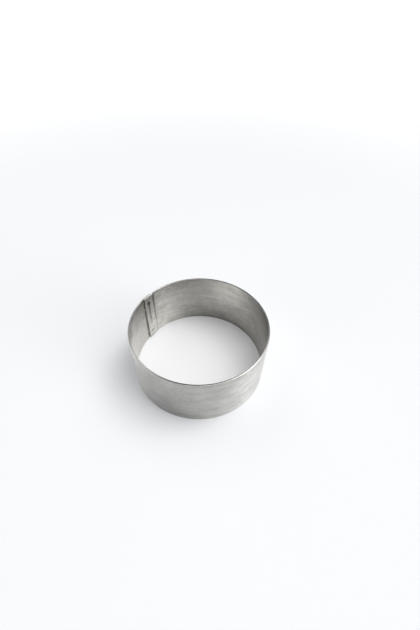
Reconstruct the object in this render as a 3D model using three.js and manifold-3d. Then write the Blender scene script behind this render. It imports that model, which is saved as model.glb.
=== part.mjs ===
// Cake ring: one strip of stainless sheet, rolled round, lapped at its ends and spot-welded.
// Millimetres, +Z up. The ring stands on its lower rim, and the Z axis is the ring's own axis.
import * as THREE from "three";
import { mergeVertices } from "three/addons/utils/BufferGeometryUtils.js";
import Module from "manifold-3d";

const { degToRad, smoothstep } = THREE.MathUtils;
const wasm = await Module();
wasm.setup();

// The ring
const boreDiameter = 100;
const ringHeight = 45;
const sheetThickness = 1;
const rimRounding = 0.15;

// The lap: the inner end is set in by a joggle, and the outer end lies over it
const lapBearing = 146.8; // degrees from +X towards +Y, to the middle of the lap
const lapLength = 8;
const lapGap = 0.3; // air left between the two sheets
const outerEndProud = 0.35; // how far the outer end stands out from the round
const outerEndLead = 6; // length over which the outer end lifts off the round
const joggleBendRadius = 0.7; // inside the two bends of the joggle
const joggleClearance = 0.35; // from the outer end's edge to the start of the joggle

// The spot welds, in a row up the middle of the lap
const weldPitch = 16; // about this far apart, spread evenly
const weldRimMargin = 4.25; // from a rim to the edge of the nearest nugget
const nuggetDiameter = 4.5;
const nuggetSeat = 0.02; // clearance between a nugget and each sheet
const electrodeDiameter = 5;
const electrodeDent = 0.12; // depth of the dent that each electrode leaves in the sheet

// How finely round stretches are divided
const wallFacet = 2.2;
const joggleFacet = 0.3;
const lapFacet = 1;
const rimSteps = 2;
const electrodeSides = 28;
const electrodeRings = 3;
const nuggetSides = 28;

// Worked out from the sizes above
const rollRadius = (boreDiameter + sheetThickness) / 2; // to the middle of the sheet
const turnLength = 2 * Math.PI * rollRadius;
const stripLength = turnLength + lapLength;
const sheetSpacing = sheetThickness + lapGap; // between the middles of the lapped sheets
const innerEndSet = sheetSpacing - outerEndProud;
const joggleStart = lapLength + joggleClearance;
// A smooth step bends most at its two ends, by six times its depth over the square of its length.
const joggleLength = Math.sqrt(6 * innerEndSet * (joggleBendRadius + sheetThickness / 2));
const rimRadius = Math.min(rimRounding, sheetThickness / 3); // limited by the sheet
const weldAngle = degToRad(lapBearing);
const weldStation = lapLength / 2;

// The strip's middle line in plan, from the inner end, clockwise round the ring, to the outer end.
class StripLine extends THREE.Curve {
  // How far the strip stands outside the round at a station along it.
  static standOff(station) {
    const joggle = smoothstep(station, joggleStart, joggleStart + joggleLength);
    const lift = smoothstep(station, turnLength - outerEndLead, turnLength);
    return outerEndProud * lift - innerEndSet * (1 - joggle);
  }

  getPoint(t, target = new THREE.Vector2()) {
    const station = t * stripLength;
    const angle = weldAngle + (weldStation - station) / rollRadius;
    const radius = rollRadius + StripLine.standOff(station);
    return target.set(radius * Math.cos(angle), radius * Math.sin(angle));
  }

  // A point beside the line, a distance outwards from it.
  pointBeside(station, outwards) {
    const t = station / stripLength;
    const along = this.getTangent(t, new THREE.Vector2());
    return this.getPoint(t).add(new THREE.Vector2(-along.y, along.x).multiplyScalar(outwards));
  }
}

const stripLine = new StripLine();

// Stations from one place to another, both included, no further apart than a facet.
function stationsBetween(from, to, facet) {
  const count = Math.ceil((to - from) / facet);
  return Array.from({ length: count + 1 }, (_, i) => from + ((to - from) * i) / count);
}

// One face of the strip over a run of stations, as points in plan.
function facePoints(stations, outwards) {
  return stations.map((station) => stripLine.pointBeside(station, outwards));
}

// Stations along the whole strip, closer together where it bends.
function stripStations() {
  const joggleEnd = joggleStart + joggleLength;
  const liftStart = turnLength - outerEndLead;
  const stretches = [
    [0, lapLength, lapFacet],
    [lapLength, joggleStart, lapFacet],
    [joggleStart, joggleEnd, joggleFacet],
    [joggleEnd, liftStart, wallFacet],
    [liftStart, turnLength, lapFacet],
    [turnLength, stripLength, lapFacet],
  ];
  const rest = stretches.flatMap(([from, to, facet]) => stationsBetween(from, to, facet).slice(1));
  return [0, ...rest];
}

// Heights of the welds: as many as suit the pitch, spread evenly between the margins at the rims.
function weldHeights() {
  const rowLength = ringHeight - 2 * weldRimMargin - nuggetDiameter;
  const steps = Math.max(0, Math.round(rowLength / weldPitch));
  if (steps === 0) return [ringHeight / 2];
  const lowest = weldRimMargin + nuggetDiameter / 2;
  return Array.from({ length: steps + 1 }, (_, i) => lowest + (rowLength * i) / steps);
}

// A geometry as a solid that can be cut.
function solidFrom(geometry) {
  const bare = geometry.clone().deleteAttribute("normal").deleteAttribute("uv");
  const merged = mergeVertices(bare);
  const vertProperties = merged.getAttribute("position").array;
  return new wasm.Manifold(
    new wasm.Mesh({ numProp: 3, vertProperties, triVerts: new Uint32Array(merged.index.array) }),
  );
}

// A solid back as a geometry, with flat shading.
function geometryFrom(solid) {
  const { vertProperties, triVerts } = solid.getMesh();
  const geometry = new THREE.BufferGeometry()
    .setAttribute("position", new THREE.BufferAttribute(vertProperties, 3))
    .setIndex(new THREE.BufferAttribute(triVerts, 1))
    .toNonIndexed();
  geometry.computeVertexNormals();
  return geometry;
}

// Turns a shape made along +Y so that it points outwards through the lap at a weld.
function pointThroughLap(geometry, radius, height) {
  return geometry
    .rotateZ(weldAngle - Math.PI / 2)
    .translate(radius * Math.cos(weldAngle), radius * Math.sin(weldAngle), height);
}

// The strip as rolled: its plan outline raised to the ring's height, with both rims rounded.
function stripGeometry() {
  const stations = stripStations();
  const outside = facePoints(stations, sheetThickness / 2);
  const inside = facePoints(stations, -sheetThickness / 2);
  return new THREE.ExtrudeGeometry(new THREE.Shape([...inside, ...outside.reverse()]), {
    depth: ringHeight - 2 * rimRadius,
    bevelThickness: rimRadius,
    bevelSize: rimRadius,
    bevelOffset: -rimRadius,
    bevelSegments: rimSteps,
  }).translate(0, 0, rimRadius);
}

// The domed end of a welding electrode, as long as it is wide, along +Y with its dome's rim at y = 0.
function electrodeGeometry() {
  const rim = electrodeDiameter / 2;
  const domeRadius = (rim * rim + electrodeDent * electrodeDent) / (2 * electrodeDent);
  const domeAngle = Math.asin(rim / domeRadius);
  const dome = Array.from({ length: electrodeRings + 1 }, (_, i) => {
    const angle = domeAngle * (1 - i / electrodeRings);
    const height = domeRadius * (Math.cos(angle) - 1) + electrodeDent;
    return new THREE.Vector2(domeRadius * Math.sin(angle), height);
  });
  const back = [new THREE.Vector2(0, -electrodeDiameter), new THREE.Vector2(rim, -electrodeDiameter)];
  return new THREE.LatheGeometry([...back, ...dome], electrodeSides);
}

// The strip with the dents that the electrodes leave on both sides of each weld.
function bandGeometry() {
  const innerFace = rollRadius + StripLine.standOff(weldStation) - sheetThickness / 2;
  const outerFace = rollRadius + StripLine.standOff(turnLength + weldStation) + sheetThickness / 2;
  let band = solidFrom(stripGeometry());
  for (const height of weldHeights()) {
    const inner = pointThroughLap(electrodeGeometry(), innerFace, height);
    const outer = pointThroughLap(electrodeGeometry().rotateZ(Math.PI), outerFace, height);
    band = band.subtract(solidFrom(inner)).subtract(solidFrom(outer));
  }
  return geometryFrom(band);
}

// One nugget, centred on height 0: the weld metal that fills a round patch of the gap in the lap.
function nuggetGeometry() {
  const stations = stationsBetween(0, lapLength, lapFacet);
  const reach = sheetThickness / 2 + nuggetSeat;
  const innerSheet = facePoints(stations, reach);
  const outerSheet = facePoints(stations.map((station) => turnLength + station), -reach);
  const gap = new THREE.ExtrudeGeometry(new THREE.Shape([...innerSheet, ...outerSheet.reverse()]), {
    depth: nuggetDiameter,
    bevelEnabled: false,
  }).translate(0, 0, -nuggetDiameter / 2);
  const patch = new THREE.CylinderGeometry(
    nuggetDiameter / 2,
    nuggetDiameter / 2,
    2 * sheetSpacing,
    nuggetSides,
  );
  const middle = rollRadius + outerEndProud - sheetSpacing / 2;
  return geometryFrom(solidFrom(gap).intersect(solidFrom(pointThroughLap(patch, middle, 0))));
}

const brushedSteel = { color: 0xb4b2ac, roughness: 0.38, metalness: 1 };
const weldSteel = { color: 0x6f6962, roughness: 0.6, metalness: 1 };

// A named piece with its own material.
function piece(name, geometry, finish) {
  const mesh = new THREE.Mesh(geometry, new THREE.MeshStandardMaterial(finish));
  mesh.name = name;
  return mesh;
}

const cakeRing = new THREE.Group();
cakeRing.name = "cake_ring";
cakeRing.add(piece("rolled_band", bandGeometry(), brushedSteel));

const weldRow = new THREE.Group();
weldHeights().forEach((height, i) => {
  const nugget = piece(`spot_weld_${i + 1}`, nuggetGeometry(), weldSteel);
  nugget.position.z = height;
  weldRow.add(nugget);
});
cakeRing.add(weldRow);

export default cakeRing;
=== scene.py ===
"""Dresses a stainless cake ring: a strip of brushed sheet, rolled round, lapped and spot-welded."""

import logging
import math
from dataclasses import dataclass
from enum import Enum
from typing import Any

import bpy
from mathutils import Matrix


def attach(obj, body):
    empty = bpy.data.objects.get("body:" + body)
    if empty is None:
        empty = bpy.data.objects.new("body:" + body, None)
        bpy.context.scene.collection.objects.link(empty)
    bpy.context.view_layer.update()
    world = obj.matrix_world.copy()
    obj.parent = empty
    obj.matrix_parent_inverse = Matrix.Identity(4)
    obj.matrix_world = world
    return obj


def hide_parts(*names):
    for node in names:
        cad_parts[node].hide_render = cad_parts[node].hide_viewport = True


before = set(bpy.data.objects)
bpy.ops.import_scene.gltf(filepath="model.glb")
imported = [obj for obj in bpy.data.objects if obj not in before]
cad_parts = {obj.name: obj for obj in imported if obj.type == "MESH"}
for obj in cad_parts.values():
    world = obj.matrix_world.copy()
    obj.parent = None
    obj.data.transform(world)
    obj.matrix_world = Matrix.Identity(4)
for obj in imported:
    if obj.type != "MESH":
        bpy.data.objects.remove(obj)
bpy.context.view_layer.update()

log = logging.getLogger("cake_ring")
MM = 0.001
SHEET_PLACE = "sheet_place"  # attribute: place along, through and up the flat strip
NOISE_MIDDLE = 0.5  # the level that noise textures vary round
STEP_BEND = 6.0  # how hard a smooth step of height 1 and length 1 bends at its ends

Colour = tuple[float, float, float]
Span = tuple[float, float]


class Slot(Enum):
    """The record's material slots."""

    BRUSHED_SHEET = "brushed_sheet"
    WELD_METAL = "weld_metal"


class Face(Enum):
    """The two faces of the ring's wall."""

    INNER = "inner"
    OUTER = "outer"


class Laying(Enum):
    """How one colour is laid over another."""

    COVER = "MIX"
    TINT = "MULTIPLY"


class Value:
    """A number socket of a node tree, so that node maths reads as Python expressions."""

    def __init__(self, nodes: "Nodes", socket: bpy.types.NodeSocket) -> None:
        """Wraps one output socket of a tree."""
        self.nodes = nodes
        self.socket = socket

    def __add__(self, other: "Value | float") -> "Value":
        """Adds."""
        return self.nodes.math("ADD", self, other)

    __radd__ = __add__

    def __sub__(self, other: "Value | float") -> "Value":
        """Subtracts."""
        return self.nodes.math("SUBTRACT", self, other)

    def __rsub__(self, other: float) -> "Value":
        """Subtracts this from a number."""
        return self.nodes.math("SUBTRACT", other, self)

    def __mul__(self, other: "Value | float") -> "Value":
        """Multiplies."""
        return self.nodes.math("MULTIPLY", self, other)

    __rmul__ = __mul__

    def __truediv__(self, other: "Value | float") -> "Value":
        """Divides."""
        return self.nodes.math("DIVIDE", self, other)

    def __rtruediv__(self, other: float) -> "Value":
        """Divides a number by this."""
        return self.nodes.math("DIVIDE", other, self)

    def __neg__(self) -> "Value":
        """Changes the sign."""
        return self.nodes.math("MULTIPLY", self, -1.0)

    def __abs__(self) -> "Value":
        """Drops the sign."""
        return self.nodes.math("ABSOLUTE", self)

    def __lt__(self, other: "Value | float") -> "Value":
        """Gives 1 where this is smaller, and 0 elsewhere."""
        return self.nodes.math("LESS_THAN", self, other)

    def sine(self) -> "Value":
        """The sine of an angle in radians."""
        return self.nodes.math("SINE", self)

    def cosine(self) -> "Value":
        """The cosine of an angle in radians."""
        return self.nodes.math("COSINE", self)

    def root(self) -> "Value":
        """The square root."""
        return self.nodes.math("SQRT", self)

    def exponent(self) -> "Value":
        """The number e raised to this power."""
        return self.nodes.math("EXPONENT", self)

    def nearest(self) -> "Value":
        """The nearest whole number."""
        return self.nodes.math("ROUND", self)

    def lesser(self, other: "Value | float") -> "Value":
        """The smaller of two numbers."""
        return self.nodes.math("MINIMUM", self, other)

    def greater(self, other: "Value | float") -> "Value":
        """The larger of two numbers."""
        return self.nodes.math("MAXIMUM", self, other)

    def between(self, low: "Value | float", high: "Value | float") -> "Value":
        """Holds the number between two limits."""
        return self.lesser(high).greater(low)

    def share(self, start: "Value | float", end: "Value | float") -> "Value":
        """How far the number has come from start to end, from 0 to 1."""
        return ((self - start) / (end - start)).between(0.0, 1.0)

    def ease(self) -> "Value":
        """Turns a share into a smooth step."""
        return self * self * (3.0 - 2.0 * self)

    def ease_slope(self) -> "Value":
        """How steep the smooth step is at this share."""
        return STEP_BEND * self * (1.0 - self)


Place = tuple[Value, Value, Value]


class Nodes:
    """Adds nodes to a shader tree or a geometry tree."""

    def __init__(self, tree: bpy.types.NodeTree) -> None:
        """Takes the tree to fill."""
        self.tree = tree

    def add(self, kind: str, settings: dict[str, Any] | None = None,
            sockets: dict[str | int, Any] | None = None) -> bpy.types.Node:
        """Adds a node.

        Args:
            kind: The node's type.
            settings: Its properties, set first.
            sockets: Values or links for its inputs, by name or number.

        Returns:
            The new node.
        """
        node = self.tree.nodes.new(kind)
        for name, setting in (settings or {}).items():
            setattr(node, name, setting)
        for key, given in (sockets or {}).items():
            self.fill(self.pick(node.inputs, key), given)
        return node

    @staticmethod
    def pick(sockets: Any, key: str | int) -> bpy.types.NodeSocket:
        """Finds one of a node's inputs or outputs.

        Args:
            sockets: The node's inputs or outputs.
            key: The socket's number, or its name among those in use.

        Returns:
            The socket.
        """
        if isinstance(key, int):
            return sockets[key]
        return next(socket for socket in sockets if socket.name == key and socket.enabled)

    def fill(self, socket: bpy.types.NodeSocket, given: Any) -> None:
        """Links a socket or sets its value.

        Args:
            socket: The input to fill.
            given: A Value, an output socket, a node whose first output is meant, or a constant.
        """
        if isinstance(given, Value):
            given = given.socket
        if isinstance(given, bpy.types.Node):
            given = given.outputs[0]
        if isinstance(given, bpy.types.NodeSocket):
            self.tree.links.new(given, socket)
        elif socket.type == "RGBA" and len(given) == 3:
            socket.default_value = (*given, 1.0)
        else:
            socket.default_value = given

    def math(self, operation: str, *operands: "Value | float") -> Value:
        """Adds a Math node on numbers and Values."""
        sockets = dict(enumerate(operands))
        return Value(self, self.add("ShaderNodeMath", {"operation": operation}, sockets).outputs[0])

    def number(self, node: bpy.types.Node, output: str | int = 0) -> Value:
        """Takes a node's output as a Value."""
        return Value(self, self.pick(node.outputs, output))

    def parts(self, vector: bpy.types.NodeSocket) -> Place:
        """Splits a vector into its three numbers."""
        split = self.add("ShaderNodeSeparateXYZ", sockets={0: vector})
        return self.number(split, 0), self.number(split, 1), self.number(split, 2)

    def vector(self, x: "Value | float", y: "Value | float", z: "Value | float") -> bpy.types.NodeSocket:
        """Joins three numbers into a vector."""
        return self.add("ShaderNodeCombineXYZ", sockets={0: x, 1: y, 2: z}).outputs[0]

    def coordinates(self, kind: str) -> bpy.types.NodeSocket:
        """The texture coordinates of one kind."""
        return self.pick(self.add("ShaderNodeTexCoord").outputs, kind)

    def noise(self, vector: bpy.types.NodeSocket, scale: float = 1.0, detail: float = 2.0,
              roughness: float = 0.5) -> Value:
        """Adds a noise texture, which gives numbers round NOISE_MIDDLE."""
        sockets = {"Vector": vector, "Scale": scale, "Detail": detail, "Roughness": roughness}
        return self.number(self.add("ShaderNodeTexNoise", sockets=sockets))

    def rays(self) -> tuple[Value, Value]:
        """Finds which rays look.

        Returns:
            1 for rays from the camera, and 1 for rays that polished or clear surfaces send on.
        """
        path = self.add("ShaderNodeLightPath")
        mirrored = self.number(path, "Is Glossy Ray") + self.number(path, "Is Transmission Ray")
        return self.number(path, "Is Camera Ray"), mirrored

    def blend(self, share: "Value | float", first: Any, second: Any,
              laying: Laying = Laying.COVER) -> bpy.types.NodeSocket:
        """Mixes two colours.

        Args:
            share: How much of the second colour shows.
            first: A colour, or a socket that carries one.
            second: A colour, or a socket that carries one.
            laying: How the second colour is laid over the first.

        Returns:
            The socket of the mixed colour.
        """
        settings = {"data_type": "RGBA", "blend_type": laying.value}
        node = self.add("ShaderNodeMix", settings, {"Factor": share, "A": first, "B": second})
        return self.pick(node.outputs, "Result")

    def bump(self, height: Value, strength: float, depth: float) -> bpy.types.Node:
        """Turns a height into a bumpy normal."""
        sockets = {"Strength": strength, "Distance": depth, "Height": height}
        return self.add("ShaderNodeBump", sockets=sockets)


class GeometryTree(Nodes):
    """A geometry tree with named inputs, which makes one plain mesh."""

    KINDS = {float: "NodeSocketFloat", int: "NodeSocketInt", bpy.types.Material: "NodeSocketMaterial"}

    def __init__(self, name: str, sizes: dict[str, Any]) -> None:
        """Starts a tree.

        Args:
            name: The tree's name.
            sizes: Its named inputs with the values they take.
        """
        super().__init__(bpy.data.node_groups.new(name, "GeometryNodeTree"))
        self.sizes = sizes
        self.identifiers: dict[str, str] = {}
        for label, size in sizes.items():
            kind = self.KINDS[type(size)]
            socket = self.tree.interface.new_socket(label, in_out="INPUT", socket_type=kind)
            self.identifiers[label] = socket.identifier
        self.tree.interface.new_socket("Mesh", in_out="OUTPUT", socket_type="NodeSocketGeometry")
        self.start = self.add("NodeGroupInput")

    def size(self, label: str) -> Value:
        """One of the named inputs, as a Value."""
        return self.number(self.start, label)

    def place(self) -> Place:
        """The place of each point, as three Values."""
        return self.parts(self.add("GeometryNodeInputPosition").outputs[0])

    def moved(self, geometry: Any, position: bpy.types.NodeSocket) -> bpy.types.Node:
        """Moves each point of a geometry to a new place."""
        return self.add("GeometryNodeSetPosition", sockets={"Geometry": geometry, "Position": position})

    def finish(self, geometry: Any, material: str) -> None:
        """Ends the tree.

        Args:
            geometry: The geometry to give out.
            material: The name of the input that holds its material.
        """
        smooth = self.add("GeometryNodeSetShadeSmooth", sockets={"Geometry": geometry})
        real = self.add("GeometryNodeRealizeInstances", sockets={"Geometry": smooth})
        sockets = {"Geometry": real, "Material": self.pick(self.start.outputs, material)}
        dressed = self.add("GeometryNodeSetMaterial", sockets=sockets)
        self.add("NodeGroupOutput", sockets={0: dressed})

    def grow(self, name: str) -> bpy.types.Object:
        """Runs the tree once.

        Args:
            name: The name of the piece.

        Returns:
            An object at the origin that holds the result as a plain mesh.
        """
        piece = bpy.data.objects.new(name, bpy.data.meshes.new(name))
        bpy.context.scene.collection.objects.link(piece)
        modifier = piece.modifiers.new(name, "NODES")
        modifier.node_group = self.tree
        for label, identifier in self.identifiers.items():
            modifier[identifier] = self.sizes[label]
        grown = piece.evaluated_get(bpy.context.evaluated_depsgraph_get())
        mesh = bpy.data.meshes.new_from_object(grown)
        piece.modifiers.remove(modifier)
        # the tree's material is the last one, and the only one that the mesh keeps
        finish = mesh.materials[-1]
        mesh.materials.clear()
        mesh.materials.append(finish)
        mesh.polygons.foreach_set("material_index", [0] * len(mesh.polygons))
        mesh.name = name
        piece.data = mesh
        return piece


@dataclass(frozen=True)
class Strip:
    """Sizes of the steel strip as it is cut, rolled, lapped and welded, in metres."""

    bore_diameter: float = 100 * MM
    height: float = 45 * MM
    sheet: float = 1 * MM
    edge_rounding: float = 0.15 * MM
    lap_bearing: float = math.radians(146.8)
    lap_length: float = 8 * MM
    lap_gap: float = 0.3 * MM
    outer_end_proud: float = 0.35 * MM
    outer_end_lead: float = 6 * MM
    joggle_bend_radius: float = 0.7 * MM
    joggle_clearance: float = 0.35 * MM
    weld_lowest: float = 6.5 * MM
    weld_pitch: float = 16 * MM
    weld_count: int = 3
    nugget_diameter: float = 4.5 * MM
    nugget_seat: float = 0.02 * MM
    electrode_diameter: float = 5 * MM
    electrode_dent: float = 0.12 * MM
    waviness: float = 0.05 * MM
    wave_length: float = 24 * MM
    wave_seed: float = 3.7

    @property
    def roll_radius(self) -> float:
        """Radius to the middle of the sheet."""
        return (self.bore_diameter + self.sheet) / 2

    @property
    def turn_length(self) -> float:
        """Length of strip in one whole turn."""
        return 2 * math.pi * self.roll_radius

    @property
    def length(self) -> float:
        """Length of the strip as cut."""
        return self.turn_length + self.lap_length

    @property
    def inner_end_set(self) -> float:
        """How far the inner end is set in from the round."""
        return self.sheet + self.lap_gap - self.outer_end_proud

    @property
    def joggle_start(self) -> float:
        """Where the joggle starts, from the inner end."""
        return self.lap_length + self.joggle_clearance

    @property
    def joggle_length(self) -> float:
        """Length of the joggle, from the bend radius that its smooth step has at its ends."""
        return math.sqrt(STEP_BEND * self.inner_end_set * (self.joggle_bend_radius + self.sheet / 2))

    @property
    def weld_station(self) -> float:
        """Where the welds are, from the inner end."""
        return self.lap_length / 2

    def roll_inputs(self) -> dict[str, float]:
        """Names the sizes of the roll.

        Returns:
            The tree inputs that roll() reads.
        """
        return {
            "Roll Radius": self.roll_radius,
            "Turn Length": self.turn_length,
            "Lap Bearing": self.lap_bearing,
            "Outer End Proud": self.outer_end_proud,
            "Outer End Lead": self.outer_end_lead,
            "Inner End Set": self.inner_end_set,
            "Joggle Start": self.joggle_start,
            "Joggle Length": self.joggle_length,
            "Weld Station": self.weld_station,
            "Waviness": self.waviness,
            "Wave Length": self.wave_length,
            "Wave Seed": self.wave_seed,
        }

    def weld_inputs(self) -> dict[str, float | int]:
        """Names the sizes of the row of welds.

        Returns:
            The tree inputs that place the welds up the lap.
        """
        return {
            "Lowest Weld": self.weld_lowest,
            "Weld Pitch": self.weld_pitch,
            "Weld Count": self.weld_count,
        }

    @staticmethod
    def roll(tree: GeometryTree, station: Value, across: Value, height: Value) -> bpy.types.NodeSocket:
        """Rolls places on the flat strip into the ring.

        Args:
            tree: A tree with the inputs of roll_inputs().
            station: Distance along the strip from its inner end.
            across: Distance outwards from the middle of the sheet.
            height: Height above the lower rim.

        Returns:
            The socket of the rolled places.
        """
        round_radius = tree.size("Roll Radius")
        proud, lead = tree.size("Outer End Proud"), tree.size("Outer End Lead")
        inset, bend = tree.size("Inner End Set"), tree.size("Joggle Length")
        turn = tree.size("Turn Length")
        start = tree.size("Joggle Start")
        joggle = station.share(start, start + bend)
        lift = station.share(turn - lead, turn)
        radius = round_radius + proud * lift.ease() - inset * (1.0 - joggle.ease())
        slope = proud * lift.ease_slope() / lead + inset * joggle.ease_slope() / bend
        angle = tree.size("Lap Bearing") + (tree.size("Weld Station") - station) / round_radius
        away_x, away_y = angle.cosine(), angle.sine()

        wave = 1.0 / tree.size("Wave Length")
        spot = tree.vector(
            away_x * round_radius * wave + tree.size("Wave Seed"),
            away_y * round_radius * wave,
            height * wave,
        )
        radius = radius - tree.size("Waviness") * tree.noise(spot, detail=1.0).between(0.0, 1.0)

        steep = radius / round_radius
        lean = (steep * steep + slope * slope).root()
        outwards = radius + across * steep / lean
        sideways = across * slope / lean
        return tree.vector(
            outwards * away_x - sideways * away_y,
            outwards * away_y + sideways * away_x,
            height,
        )

    @staticmethod
    def from_weld(sizes: dict[str, Any], place: Place) -> Place:
        """Measures from the nearest weld, on the faces that the electrodes press.

        Args:
            sizes: Weld station, turn length, lowest weld, pitch and count, as numbers or Values.
            place: Place along, through and up the flat strip.

        Returns:
            The distances along and up from the weld, and 1 on the ring's inner face or 0 outside.
        """
        station, across, height = place
        inside = across < 0.0
        along = station - sizes["station"] - (1.0 - inside) * sizes["turn"]
        steps = (height - sizes["lowest"]) / sizes["pitch"]
        weld = steps.nearest().between(0.0, sizes["count"] - 1.0)
        return along, (steps - weld) * sizes["pitch"], inside


def start_material(name: str) -> tuple[bpy.types.Material, Nodes, bpy.types.Node]:
    """Starts a material.

    Args:
        name: The material's name.

    Returns:
        The material, its nodes and its shader.
    """
    material = bpy.data.materials.new(name)
    material.use_nodes = True
    return material, Nodes(material.node_tree), material.node_tree.nodes["Principled BSDF"]


@dataclass(frozen=True)
class Grain:
    """One layer of the brushed finish: streaks along the strip, or patches as wide as they are long."""

    length: float
    width: float
    seed: float  # sets this layer apart from the others
    contrast: float = 0.0  # how much it changes the tone
    face_gap: float = 9.0  # noise steps between one face of the sheet and the other
    noise_detail: float = 3.0
    noise_roughness: float = 0.6

    def lay(self, nodes: Nodes, strip: Strip, place: Place) -> Value:
        """Adds the layer's noise.

        Args:
            nodes: The material's nodes.
            strip: The strip that is brushed.
            place: Place along, through and up the flat strip.

        Returns:
            A Value round 0.
        """
        along, across, height = place
        side = across * (self.face_gap / strip.sheet) + self.seed
        spot = nodes.vector(along / self.length, side, height / self.width)
        noise = nodes.noise(spot, detail=self.noise_detail, roughness=self.noise_roughness)
        return noise - NOISE_MIDDLE


@dataclass(frozen=True)
class HeatMarks:
    """Dark spots that the welds burn into the lap, and the trail below the top one."""

    spot: Span = (0.6 * MM, 2.3 * MM)  # distances from a weld, between which its spot fades
    upper: Span = (24 * MM, 38 * MM)  # heights between which the spots grow darker
    depth: float = 0.2  # scorch at the lower welds
    upper_depth: float = 0.25  # added at the top weld
    inner_depth: float = 0.47  # added at the top weld on the inner face
    trail_side: Span = (0.2 * MM, 1.4 * MM)  # distances beside the welds, between which the trail fades
    trail_foot: Span = (9 * MM, 33 * MM)  # heights between which the trail grows darker
    trail_top: Span = (37 * MM, 42 * MM)  # heights between which the trail ends
    trail_depth: float = 0.72  # scorch of the trail where it is darkest

    def scorch(self, strip: Strip, place: Place) -> Value:
        """Works out the scorch that the welds leave on the sheet.

        Args:
            strip: The welded strip.
            place: Place along, through and up the flat strip.

        Returns:
            The scorch, from 0 to 1.
        """
        sizes = {
            "station": strip.weld_station,
            "turn": strip.turn_length,
            "lowest": strip.weld_lowest,
            "pitch": strip.weld_pitch,
            "count": float(strip.weld_count),
        }
        along, up, inside = strip.from_weld(sizes, place)
        height = place[2]
        spot = 1.0 - (along * along + up * up).root().share(*self.spot).ease()
        upper = height.share(*self.upper).ease()
        spot = spot * (self.depth + (self.upper_depth + self.inner_depth * inside) * upper)
        trail = 1.0 - abs(along).share(*self.trail_side).ease()
        trail = trail * height.share(*self.trail_foot) * (1.0 - height.share(*self.trail_top))
        return (spot + self.trail_depth * inside * trail).between(0.0, 1.0)


@dataclass(frozen=True)
class CreaseShade:
    """Painted shade in the inner bend of the joggle, which thins out towards the top."""

    middle: float = 0.6  # place in the joggle, as a share of its length
    side: Span = (0.1 * MM, 0.6 * MM)  # distances from there, between which the painted shade fades
    upper: Span = (16 * MM, 34 * MM)  # heights between which the painted shade thins out
    depth: float = 0.4  # darkness at the foot

    def cover(self, strip: Strip, place: Place) -> Value:
        """Works out how dark the painted shade in the crease is.

        Args:
            strip: The joggled strip.
            place: Place along, through and up the flat strip.

        Returns:
            The cover, from 0 to 1.
        """
        along, across, height = place
        off = along - (strip.joggle_start + self.middle * strip.joggle_length)
        near = 1.0 - abs(off).share(*self.side).ease()
        return self.depth * near * (across < 0.0) * (1.0 - height.share(*self.upper))


@dataclass(frozen=True)
class PaintedPatch:
    """A place on one face of the wall painted brighter or darker than the rest, as a painted highlight,
    reflection or shade.
    """

    bearing: float  # degrees from +X towards +Y
    reach: float  # degrees to either side
    face: Face
    low: float  # change at the lower rim, as a share
    high: float  # change at the upper rim, as a share

    def change(self, turned: Value, level: Value) -> Value:
        """Works out the painted change of brightness on this patch's face.

        Args:
            turned: Bearing of each place, in radians.
            level: Height of each place, as a share of the wall's.

        Returns:
            The change, as a share of the plain brightness.
        """
        tightness = 1.0 / math.radians(self.reach) ** 2
        near = (tightness * ((turned - math.radians(self.bearing)).cosine() - 1.0)).exponent()
        return near * (self.low + (self.high - self.low) * level)


@dataclass(frozen=True)
class PaintedLight:
    """Painted light and shade on the wall: patches of painted highlight, reflection and shade, and a
    brightening of the inner face halfway up.
    """

    middle_brightening: float = 0.24  # how much brighter the inner face is halfway up than at its rims
    painted_patches: tuple[PaintedPatch, ...] = (
        PaintedPatch(160, 26, Face.INNER, 0.22, -0.28),
        PaintedPatch(130, 14, Face.INNER, 0.55, 0.02),
        PaintedPatch(191, 12, Face.INNER, 0.34, 0.44),
        PaintedPatch(98, 19, Face.INNER, -0.31, -0.25),
        PaintedPatch(64, 13, Face.INNER, -0.17, 0.52),
        PaintedPatch(18, 25, Face.INNER, -0.18, -0.36),
        PaintedPatch(326, 25, Face.OUTER, 0.22, 0.27),
        PaintedPatch(288, 14, Face.OUTER, 0.0, -0.18),
        PaintedPatch(247, 17, Face.OUTER, -0.35, -0.1),
        PaintedPatch(203, 15, Face.OUTER, 0.36, 0.38),
    )

    def brightness(self, strip: Strip, place: Place) -> Value:
        """Works out how bright the painted light and shade leave each place.

        Args:
            strip: The strip that the light and shade are painted on.
            place: Place along, through and up the flat strip.

        Returns:
            The brightness, round 1.
        """
        along, across, height = place
        turned = strip.lap_bearing - (along - strip.weld_station) / strip.roll_radius
        level = height / strip.height
        inside = across < 0.0
        faces = {Face.INNER: inside, Face.OUTER: 1.0 - inside}
        bow = 4.0 * level * (1.0 - level) - 0.5  # from -0.5 at the rims to 0.5 halfway up
        total = 1.0 + self.middle_brightening * inside * bow
        for painted_patch in self.painted_patches:
            total = total + faces[painted_patch.face] * painted_patch.change(turned, level)
        return total


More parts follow.
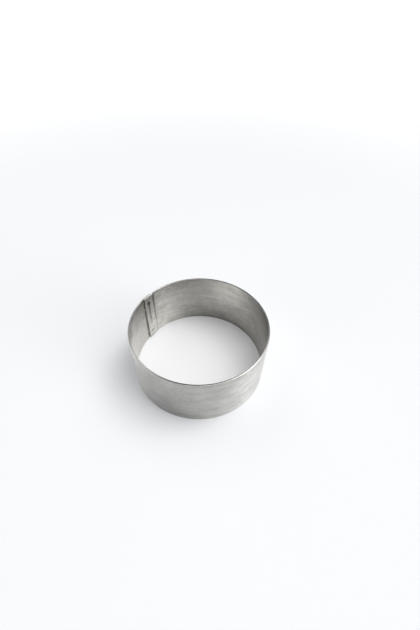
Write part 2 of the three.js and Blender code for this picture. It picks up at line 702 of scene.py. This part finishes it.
@dataclass(frozen=True)
class BrushedSteel:
    """Stainless sheet, brushed along the strip, with sheared edges and heat marks at the welds."""

    strip: Strip
    bright: Colour = (0.628, 0.618, 0.59)
    dull: Colour = (0.311, 0.306, 0.292)
    sheared: Colour = (0.53, 0.522, 0.503)
    # dark colour of the welds' scorch, and of the painted shade in the joggle's crease
    scorch_and_shade: Colour = (0.05, 0.047, 0.045)
    inner_tint: Colour = (1.01, 1.0, 0.978)  # shares of red, green and blue on the inner face
    plain_tone: float = 0.5  # of the sheet before it is brushed, from 0 for dull to 1 for bright
    outer_polish: float = 0.17  # added to the tone of the outer face
    smooth_line: float = 0.12  # roughness at the bottom of a brush line
    rough_line: float = 0.42  # roughness at the burr beside it
    burr: Span = (-0.1, 0.1)  # hairline levels between which the burr rises
    cloud_roughness: float = 0.3  # added where the clouds are bright
    scorch_roughness: float = 0.2  # added where the welds' scorch is
    sheared_roughness: float = 0.14
    sheared_depth: Span = (0.02 * MM, 0.12 * MM)  # distances from an edge, between which the cut ends
    anisotropy: float = 0.8
    quarter_turn: float = 0.25  # of the anisotropy, so that highlights spread across the grain
    hairlines: Grain = Grain(length=4 * MM, width=0.12 * MM, seed=0.0, contrast=1.9)
    streaks: Grain = Grain(length=9 * MM, width=0.35 * MM, seed=31.0, contrast=1.1)
    bands: Grain = Grain(length=22 * MM, width=4 * MM, seed=67.0, contrast=1.0)
    blotches: Grain = Grain(length=5 * MM, width=5 * MM, seed=83.0, contrast=0.5)
    clouds: Grain = Grain(length=18 * MM, width=18 * MM, seed=11.0, contrast=0.8)
    drift: Grain = Grain(length=22 * MM, width=22 * MM, seed=47.0)
    sway: float = 0.1 * MM  # how far the brush lines wander with the drift
    patchiness: float = 4.0  # how much the clouds strengthen and weaken the brush lines
    patch_limits: Span = (0.4, 1.5)
    hairline_share: float = 0.6  # of the bump; the rest is streaks
    bump_strength: float = 0.35
    bump_depth: float = 0.02 * MM
    # painted highlights, reflections and shade, which the colour is multiplied by
    painted_light: PaintedLight = PaintedLight()
    heat: HeatMarks = HeatMarks()
    # painted shade in the inner bend of the joggle
    crease_shade: CreaseShade = CreaseShade()

    def cut_edge(self, place: Place) -> Value:
        """Finds where the shears have cut the strip out of its sheet.

        Args:
            place: Place along, through and up the flat strip.

        Returns:
            1 on the narrow edges, and 0 elsewhere.
        """
        along, _, height = place
        from_rim = height.lesser(self.strip.height - height)
        from_end = along.lesser(self.strip.length - along)
        return 1.0 - from_rim.lesser(from_end).share(*self.sheared_depth).ease()

    def build(self) -> bpy.types.Material:
        """Makes the material.

        Returns:
            A material for meshes that carry the place on the flat strip as an attribute.
        """
        material, nodes, shader = start_material(Slot.BRUSHED_SHEET.value)
        strip = self.strip
        lookup = nodes.add("ShaderNodeAttribute", {"attribute_name": SHEET_PLACE})
        place = nodes.parts(nodes.pick(lookup.outputs, "Vector"))
        along, across, height = place
        inside = across < 0.0
        cut = self.cut_edge(place)
        heat = self.heat.scorch(strip, place)
        crease_shade = self.crease_shade.cover(strip, place)

        clouds = self.clouds.lay(nodes, strip, place)
        blotches = self.blotches.lay(nodes, strip, place)
        swayed = along, across, height + self.sway * self.drift.lay(nodes, strip, place)
        hairlines = self.hairlines.lay(nodes, strip, swayed)
        streaks = self.streaks.lay(nodes, strip, swayed)
        bands = self.bands.lay(nodes, strip, swayed)

        lines = self.hairlines.contrast * hairlines + self.streaks.contrast * streaks
        lines = lines * (1.0 + self.patchiness * clouds).between(*self.patch_limits)
        wide = self.bands.contrast * bands + self.blotches.contrast * blotches
        wide = wide + self.clouds.contrast * clouds
        tone = self.plain_tone + lines + wide + self.outer_polish * (1.0 - inside)
        # painted light and shade, which tints the colour below
        brightness = self.painted_light.brightness(strip, place)
        tint = nodes.vector(*(brightness * (1.0 + (hue - 1.0) * inside) for hue in self.inner_tint))
        colour = nodes.blend(tone.between(0.0, 1.0), self.dull, self.bright)
        colour = nodes.blend(1.0, colour, tint, Laying.TINT)
        colour = nodes.blend(cut, colour, self.sheared)
        # painted shade in the joggle's crease
        colour = nodes.blend(crease_shade, colour, self.scorch_and_shade)
        colour = nodes.blend(heat, colour, self.scorch_and_shade)

        burr = hairlines.share(*self.burr)
        rough = self.smooth_line + (self.rough_line - self.smooth_line) * burr
        rough = rough + self.cloud_roughness * clouds
        rough = rough + (self.sheared_roughness - rough) * cut + self.scorch_roughness * heat
        relief = self.hairline_share * hairlines + (1.0 - self.hairline_share) * streaks

        nodes.fill(shader.inputs["Base Color"], colour)
        nodes.fill(shader.inputs["Roughness"], rough)
        nodes.fill(shader.inputs["Normal"], nodes.bump(relief, self.bump_strength, self.bump_depth))
        shader.inputs["Metallic"].default_value = 1.0
        shader.inputs["Anisotropic"].default_value = self.anisotropy
        shader.inputs["Anisotropic Rotation"].default_value = self.quarter_turn
        return material


@dataclass(frozen=True)
class WeldMetal:
    """Steel that has melted and set between the sheets, dull and scaled."""

    pale: Colour = (0.36, 0.34, 0.32)
    scale: Colour = (0.17, 0.155, 0.15)
    grain_size: float = 0.35 * MM
    grain_detail: float = 4.0
    roughness: float = 0.4
    grain_roughness: float = 0.35  # added where the grain is pale
    bump_strength: float = 0.4
    bump_depth: float = 0.05 * MM

    def build(self) -> bpy.types.Material:
        """Makes the material.

        Returns:
            A material with a fine grain.
        """
        material, nodes, shader = start_material(Slot.WELD_METAL.value)
        grain = nodes.noise(nodes.coordinates("Object"), 1.0 / self.grain_size, detail=self.grain_detail)
        nodes.fill(shader.inputs["Base Color"], nodes.blend(grain, self.scale, self.pale))
        nodes.fill(shader.inputs["Roughness"], self.roughness + self.grain_roughness * grain)
        nodes.fill(shader.inputs["Normal"], nodes.bump(grain, self.bump_strength, self.bump_depth))
        shader.inputs["Metallic"].default_value = 1.0
        return material


@dataclass
class RolledBand:
    """The wall of the ring: the strip with its rounded edges, electrode dents and lap."""

    strip: Strip
    name: str = "band"
    node: str = "rolled_band"
    columns: int = 420
    layers: int = 9
    rows: int = 80

    def sizes(self, material: bpy.types.Material) -> dict[str, Any]:
        """Names the band's sizes.

        Args:
            material: The finish of the whole band.

        Returns:
            The tree's inputs.
        """
        strip = self.strip
        return {
            **strip.roll_inputs(),
            **strip.weld_inputs(),
            "Length": strip.length,
            "Sheet": strip.sheet,
            "Height": strip.height,
            "Edge Rounding": strip.edge_rounding,
            "Columns": self.columns,
            "Layers": self.layers,
            "Rows": self.rows,
            "Electrode Radius": strip.electrode_diameter / 2,
            "Dent": strip.electrode_dent,
            "Finish": material,
        }

    def build(self, material: bpy.types.Material) -> bpy.types.Object:
        """Cuts the flat strip, rounds its edges, dents it at the welds and rolls it.

        Args:
            material: The finish of the whole band.

        Returns:
            The band's object.
        """
        tree = GeometryTree(self.name, self.sizes(material))
        halves = [tree.size(label) / 2.0 for label in ("Length", "Sheet", "Height")]
        flat = tree.add("GeometryNodeMeshCube", sockets={
            "Size": tree.vector(*(half * 2.0 for half in halves)),
            "Vertices X": tree.size("Columns"),
            "Vertices Y": tree.size("Layers"),
            "Vertices Z": tree.size("Rows"),
        })
        cut = self.rounded(tree, halves)
        station, across, height = cut[0] + halves[0], cut[1], cut[2] + halves[2]
        across = across + self.dent(tree, (station, across, height))
        sockets = {
            "Geometry": flat,
            "Name": SHEET_PLACE,
            "Value": tree.vector(station, across, height),
        }
        settings = {"data_type": "FLOAT_VECTOR", "domain": "POINT"}
        marked = tree.add("GeometryNodeStoreNamedAttribute", settings, sockets)
        settings = {"data_type": "FLOAT_VECTOR"}
        stored = tree.add("GeometryNodeInputNamedAttribute", settings, {"Name": SHEET_PLACE})
        rolled = self.strip.roll(tree, *tree.parts(stored.outputs[0]))
        tree.finish(tree.moved(marked, rolled), "Finish")
        return tree.grow(self.name)

    @staticmethod
    def rounded(tree: GeometryTree, halves: list[Value]) -> list[Value]:
        """Crowds the rows of the flat strip towards its edges, and rounds the edges.

        Args:
            tree: The band's tree.
            halves: Half the strip's length, thickness and height.

        Returns:
            The new place of each point, in three parts.
        """
        rounding = tree.size("Edge Rounding")
        crowded = [
            (part / half * (math.pi / 2)).sine() * half
            for part, half in zip(tree.place(), halves)
        ]
        core = [
            part.between(rounding - half, half - rounding)
            for part, half in zip(crowded, halves)
        ]
        over = [part - middle for part, middle in zip(crowded, core)]
        reach = (over[0] * over[0] + over[1] * over[1] + over[2] * over[2]).root()
        return [middle + part * rounding / reach for middle, part in zip(core, over)]

    @staticmethod
    def dent(tree: GeometryTree, place: Place) -> Value:
        """Presses the electrodes into both faces of the lap.

        Args:
            tree: The band's tree.
            place: Place along, through and up the flat strip.

        Returns:
            How far each point moves outwards.
        """
        sizes = {
            "station": tree.size("Weld Station"),
            "turn": tree.size("Turn Length"),
            "lowest": tree.size("Lowest Weld"),
            "pitch": tree.size("Weld Pitch"),
            "count": tree.size("Weld Count"),
        }
        along, up, inside = Strip.from_weld(sizes, place)
        radius = tree.size("Electrode Radius")
        bowl = (1.0 - (along * along + up * up) / (radius * radius)).between(0.0, 1.0)
        return tree.size("Dent") * bowl * (2.0 * inside - 1.0)

    def dress(self, piece: bpy.types.Object) -> None:
        """Ties the band to the frame.

        Args:
            piece: The band's object.
        """
        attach(piece, "root")
        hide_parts(self.node)


@dataclass
class WeldRow:
    """The weld nuggets that hold the two layers of the lap together."""

    strip: Strip
    name: str = "weld_nuggets"
    nodes: tuple[str, ...] = ("spot_weld_1", "spot_weld_2", "spot_weld_3")
    sides: int = 40
    side_segments: int = 6
    fill_segments: int = 5
    bulge: float = 0.12 * MM

    def sizes(self, material: bpy.types.Material) -> dict[str, Any]:
        """Names the nuggets' sizes.

        Args:
            material: The finish of the nuggets.

        Returns:
            The tree's inputs.
        """
        strip = self.strip
        return {
            **strip.roll_inputs(),
            **strip.weld_inputs(),
            "Nugget Radius": strip.nugget_diameter / 2 - self.bulge,
            "Nugget Depth": strip.lap_gap - 2 * strip.nugget_seat,
            "Nugget Middle": (strip.sheet + strip.lap_gap) / 2,
            "Bulge": self.bulge,
            "Sides": self.sides,
            "Side Segments": self.side_segments,
            "Fill Segments": self.fill_segments,
            "Finish": material,
        }

    def build(self, material: bpy.types.Material) -> bpy.types.Object:
        """Repeats one nugget up the lap and rolls the row with the strip.

        Args:
            material: The finish of the nuggets.

        Returns:
            The object that holds the whole row.
        """
        tree = GeometryTree(self.name, self.sizes(material))
        depth = tree.size("Nugget Depth")
        disc = tree.add("GeometryNodeMeshCylinder", {"fill_type": "TRIANGLE_FAN"}, {
            "Vertices": tree.size("Sides"),
            "Side Segments": tree.size("Side Segments"),
            "Fill Segments": tree.size("Fill Segments"),
            "Radius": tree.size("Nugget Radius"),
            "Depth": depth,
        })
        x, y, z = tree.place()
        level = 2.0 * z / depth
        swell = (1.0 - level * level).between(0.0, 1.0).root()
        wide = 1.0 + swell * tree.size("Bulge") / tree.size("Nugget Radius")
        nugget = tree.moved(disc, tree.vector(x * wide, -z, y * wide))
        row = tree.add("GeometryNodeMeshLine", sockets={
            "Count": tree.size("Weld Count"),
            "Start Location": tree.vector(tree.size("Weld Station"), 0.0, tree.size("Lowest Weld")),
            "Offset": tree.vector(0.0, 0.0, tree.size("Weld Pitch")),
        })
        copies = tree.add("GeometryNodeInstanceOnPoints", sockets={"Points": row, "Instance": nugget})
        real = tree.add("GeometryNodeRealizeInstances", sockets={"Geometry": copies})
        along, across, height = tree.place()
        rolled = self.strip.roll(tree, along, across + tree.size("Nugget Middle"), height)
        tree.finish(tree.moved(real, rolled), "Finish")
        return tree.grow(self.name)

    def dress(self, piece: bpy.types.Object) -> None:
        """Ties the nuggets to the frame.

        Args:
            piece: The object that holds the whole row.
        """
        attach(piece, "root")
        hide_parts(*self.nodes)


@dataclass(frozen=True)
class TableWhite:
    """A pale table top that keeps the ring's shadow and fades to plain white further off."""

    colour: Colour = (0.79, 0.796, 0.81)
    lift: Colour = (0.097, 0.098, 0.101)  # white that shows without light
    far_colour: Colour = (0.0, 0.0, 0.0)  # where the lift alone gives the white
    fade: Span = (0.35, 0.9)  # distances from the ring, between which it turns white
    roughness: float = 0.7

    def build(self) -> bpy.types.Material:
        """Makes the material.

        Returns:
            A material for a table top with its origin under the ring.
        """
        material, nodes, shader = start_material("table_white")
        x, y, _ = nodes.parts(nodes.coordinates("Object"))
        far = (x * x + y * y).root().share(*self.fade).ease()
        camera, mirrored = nodes.rays()
        seen = camera + mirrored
        lift = nodes.vector(*(seen * (level + (1.0 - level) * far) for level in self.lift))
        nodes.fill(shader.inputs["Base Color"], nodes.blend(far, self.colour, self.far_colour))
        nodes.fill(shader.inputs["Emission Color"], lift)
        shader.inputs["Emission Strength"].default_value = 1.0
        shader.inputs["Roughness"].default_value = self.roughness
        return material


@dataclass(frozen=True)
class Glow:
    """A soft patch of light far away, such as a window or a pale ceiling."""

    bearing: float  # degrees from +X towards +Y
    elevation: float  # degrees above the table
    brightness: float
    tightness: float  # how steeply the light falls off round the middle
    warmth: float = 0.0  # added to red and taken from blue, as a share

    def direction(self) -> tuple[float, float, float]:
        """Finds the way to the patch.

        Returns:
            The direction from the ring to the middle of the patch.
        """
        bearing, elevation = math.radians(self.bearing), math.radians(self.elevation)
        level = math.cos(elevation)
        return level * math.cos(bearing), level * math.sin(bearing), math.sin(elevation)

    def tint(self) -> Colour:
        """The colour of the light, round white."""
        return 1.0 + self.warmth, 1.0, 1.0 - self.warmth

    def shine(self, nodes: Nodes, look: bpy.types.NodeSocket) -> Value:
        """Works out how bright the room is because of this patch.

        Args:
            nodes: The world's nodes.
            look: The direction looked in.

        Returns:
            The brightness, which falls off smoothly round the middle of the patch.
        """
        sockets = {0: look, 1: self.direction()}
        facing = nodes.add("ShaderNodeVectorMath", {"operation": "DOT_PRODUCT"}, sockets)
        return self.brightness * (self.tightness * (nodes.number(facing, "Value") - 1.0)).exponent()


@dataclass
class Studio:
    """The pale table, the soft light and the camera."""

    table_size: float = 16.0
    table_white: TableWhite = TableWhite()
    backdrop_top: Span = (0.5, 3.5)  # degrees, between which the backdrop fades out
    glows: tuple[Glow, ...] = (
        Glow(336, 4, 8.2, 30, -0.06),
        Glow(214, 12, 2.4, 35, -0.05),
        Glow(128, 36, 1.0, 30, -0.06),
        Glow(334, 38, 2.7, 30, -0.05),
        Glow(56, 34, 0.8, 34, -0.05),
        Glow(24, 59, 7.3, 38, 0.01),
        Glow(145, 54, 1.9, 35),
        Glow(102.5, 42, 2.5, 300),
        Glow(76.5, 54, 3.0, 500),
        Glow(109.5, 53.5, 1.3, 500),
        Glow(0, 79, 4.9, 32, 0.01),
        Glow(270, 76, 1.6, 30, 0.03),
    )
    camera_place: tuple[float, float, float] = (7.6 * MM, -159.8 * MM, 225.4 * MM)
    camera_elevation: float = math.radians(46.81)
    camera_roll: float = math.radians(1.36)
    lens: float = 19.04
    nearest_seen: float = 0.01

    def build_table(self) -> bpy.types.Object:
        """Makes the table top that the ring stands on.

        Returns:
            The table's object.
        """
        half = self.table_size / 2
        mesh = bpy.data.meshes.new("table")
        corners = [(-half, -half, 0.0), (half, -half, 0.0), (half, half, 0.0), (-half, half, 0.0)]
        mesh.from_pydata(corners, [], [(0, 1, 2, 3)])
        mesh.materials.append(self.table_white.build())
        table = bpy.data.objects.new("table", mesh)
        bpy.context.scene.collection.objects.link(table)
        return table

    def build_light(self) -> None:
        """Makes a room with soft patches of light, and a white backdrop that the metal shows too."""
        world = bpy.data.worlds.new("room")
        world.use_nodes = True
        nodes = Nodes(world.node_tree)
        look = nodes.coordinates("Generated")
        low, high = (math.sin(math.radians(top)) for top in self.backdrop_top)
        backdrop = 1.0 - nodes.parts(look)[2].share(low, high).ease()
        camera, mirrored = nodes.rays()
        shines = [(glow.shine(nodes, look), glow.tint()) for glow in self.glows]
        hues = [sum(shine * tint[channel] for shine, tint in shines) for channel in range(3)]
        colour = nodes.vector(*(camera + (1.0 - camera) * (hue + mirrored * backdrop) for hue in hues))
        nodes.fill(world.node_tree.nodes["Background"].inputs["Color"], colour)
        bpy.context.scene.world = world

    def build_camera(self) -> bpy.types.Object:
        """Makes the camera that looks down at the ring.

        Returns:
            The camera's object.
        """
        data = bpy.data.cameras.new("camera")
        data.lens = self.lens
        data.clip_start = self.nearest_seen
        camera = bpy.data.objects.new("camera", data)
        tilt = Matrix.Rotation(math.pi / 2 - self.camera_elevation, 4, "X")
        roll = Matrix.Rotation(self.camera_roll, 4, "Z")
        camera.matrix_world = Matrix.Translation(self.camera_place) @ tilt @ roll
        bpy.context.scene.collection.objects.link(camera)
        bpy.context.scene.camera = camera
        return camera


def main() -> None:
    """Builds the ring, the table, the light and the camera."""
    logging.basicConfig(level=logging.INFO, format="%(message)s")
    bpy.context.scene.view_settings.view_transform = "Standard"
    studio = Studio()
    studio.build_camera()
    studio.build_table()
    studio.build_light()

    strip = Strip()
    steel = BrushedSteel(strip).build()
    weld_metal = WeldMetal().build()
    for part, material in ((RolledBand(strip), steel), (WeldRow(strip), weld_metal)):
        piece = part.build(material)
        part.dress(piece)
        log.info("%s: %d faces", piece.name, len(piece.data.polygons))


if __name__ == "__main__":
    main()
